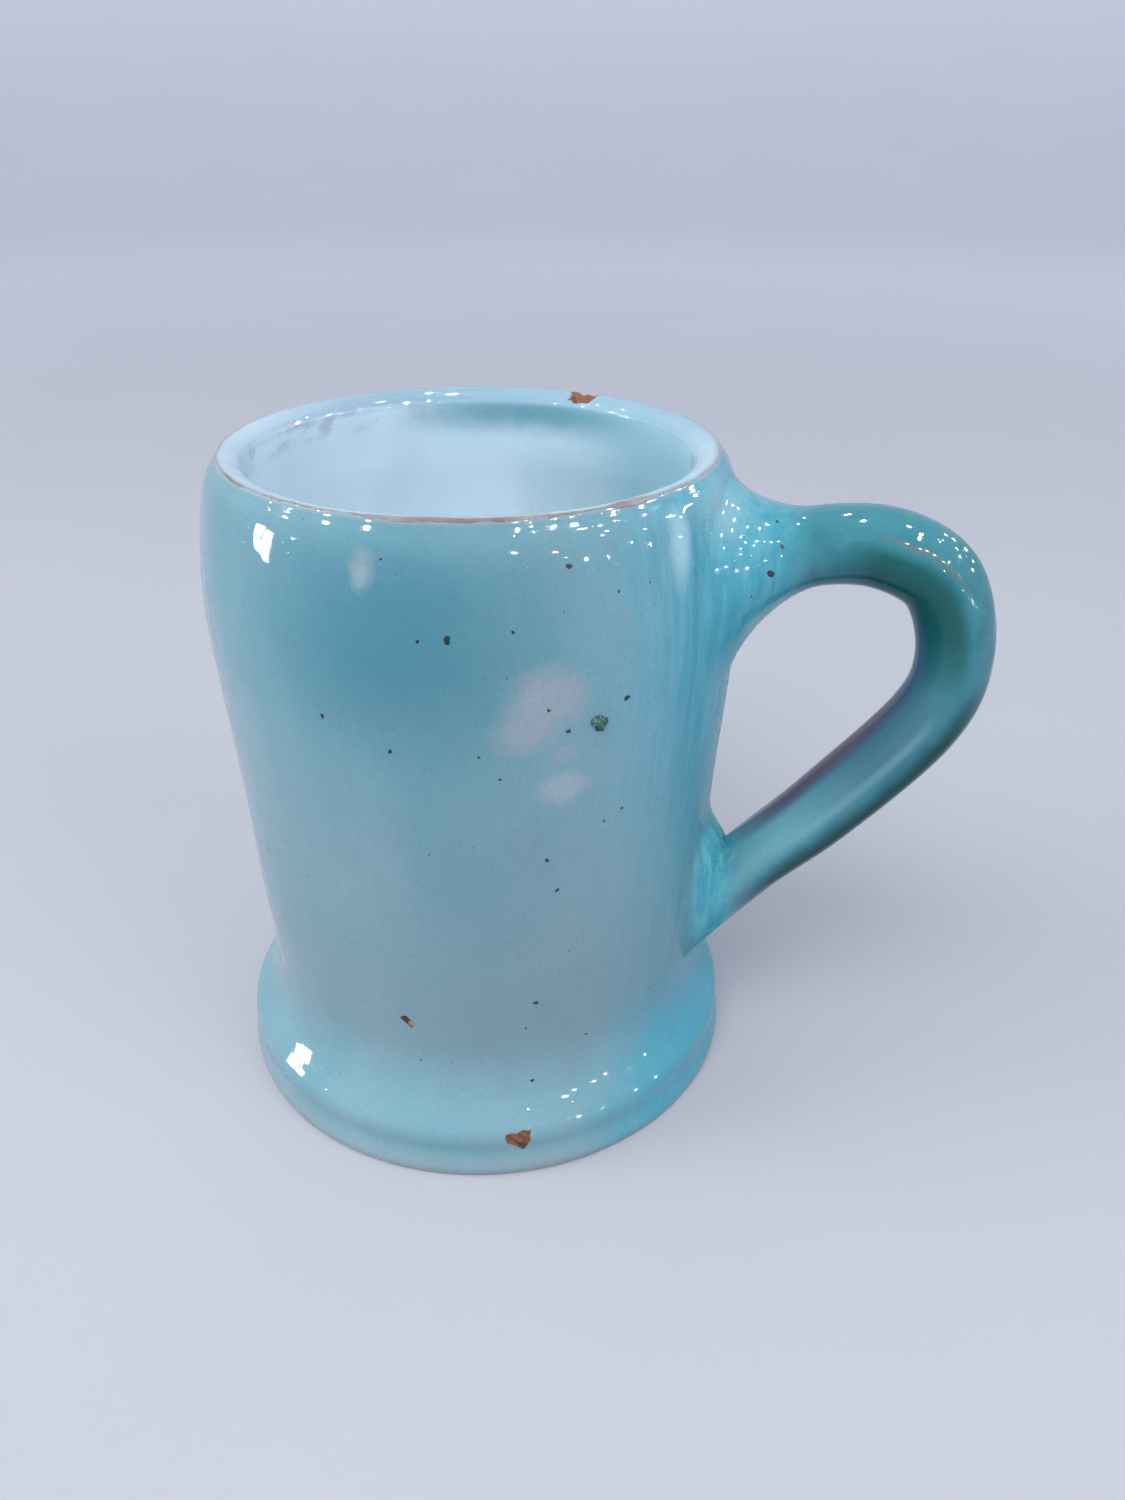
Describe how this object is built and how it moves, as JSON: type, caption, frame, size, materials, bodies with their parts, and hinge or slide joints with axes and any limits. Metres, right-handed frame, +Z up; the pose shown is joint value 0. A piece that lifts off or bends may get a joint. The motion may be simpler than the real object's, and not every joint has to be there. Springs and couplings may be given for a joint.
{
  "type": "shaving mug",
  "caption": "Hand-thrown glazed earthenware shaving mug: round belly over a waist and a spread flat foot, rounded rim, and a looped rope handle at one side.",
  "frame": {"origin": "centre of the flat foot, on the surface that the mug stands on", "axes": "+Z up through the mouth along the axis of the pot, +X out from that axis through the middle of the handle"},
  "size_m": [0.1144, 0.0808, 0.1002],
  "materials": {
    "clay": "unglazed fired earthenware, matte",
    "wall_glaze": "glossy opaque turquoise glaze with pinholes",
    "lining_glaze": "glossy opaque pale blue glaze",
    "handle_glaze": "glossy dark teal glaze, thin and brown on the ridges",
    "kiln_grit": "rough glazed grit"
  },
  "bodies": {
    "root": {"clay_body": "clay", "handle_rope": "clay", "upper_joint": "clay", "lower_joint": "clay", "wall_glaze": "wall_glaze", "lining_glaze": "lining_glaze", "handle_glaze": "handle_glaze", "kiln_crumb": "kiln_grit"}
  },
  "joints": []
}
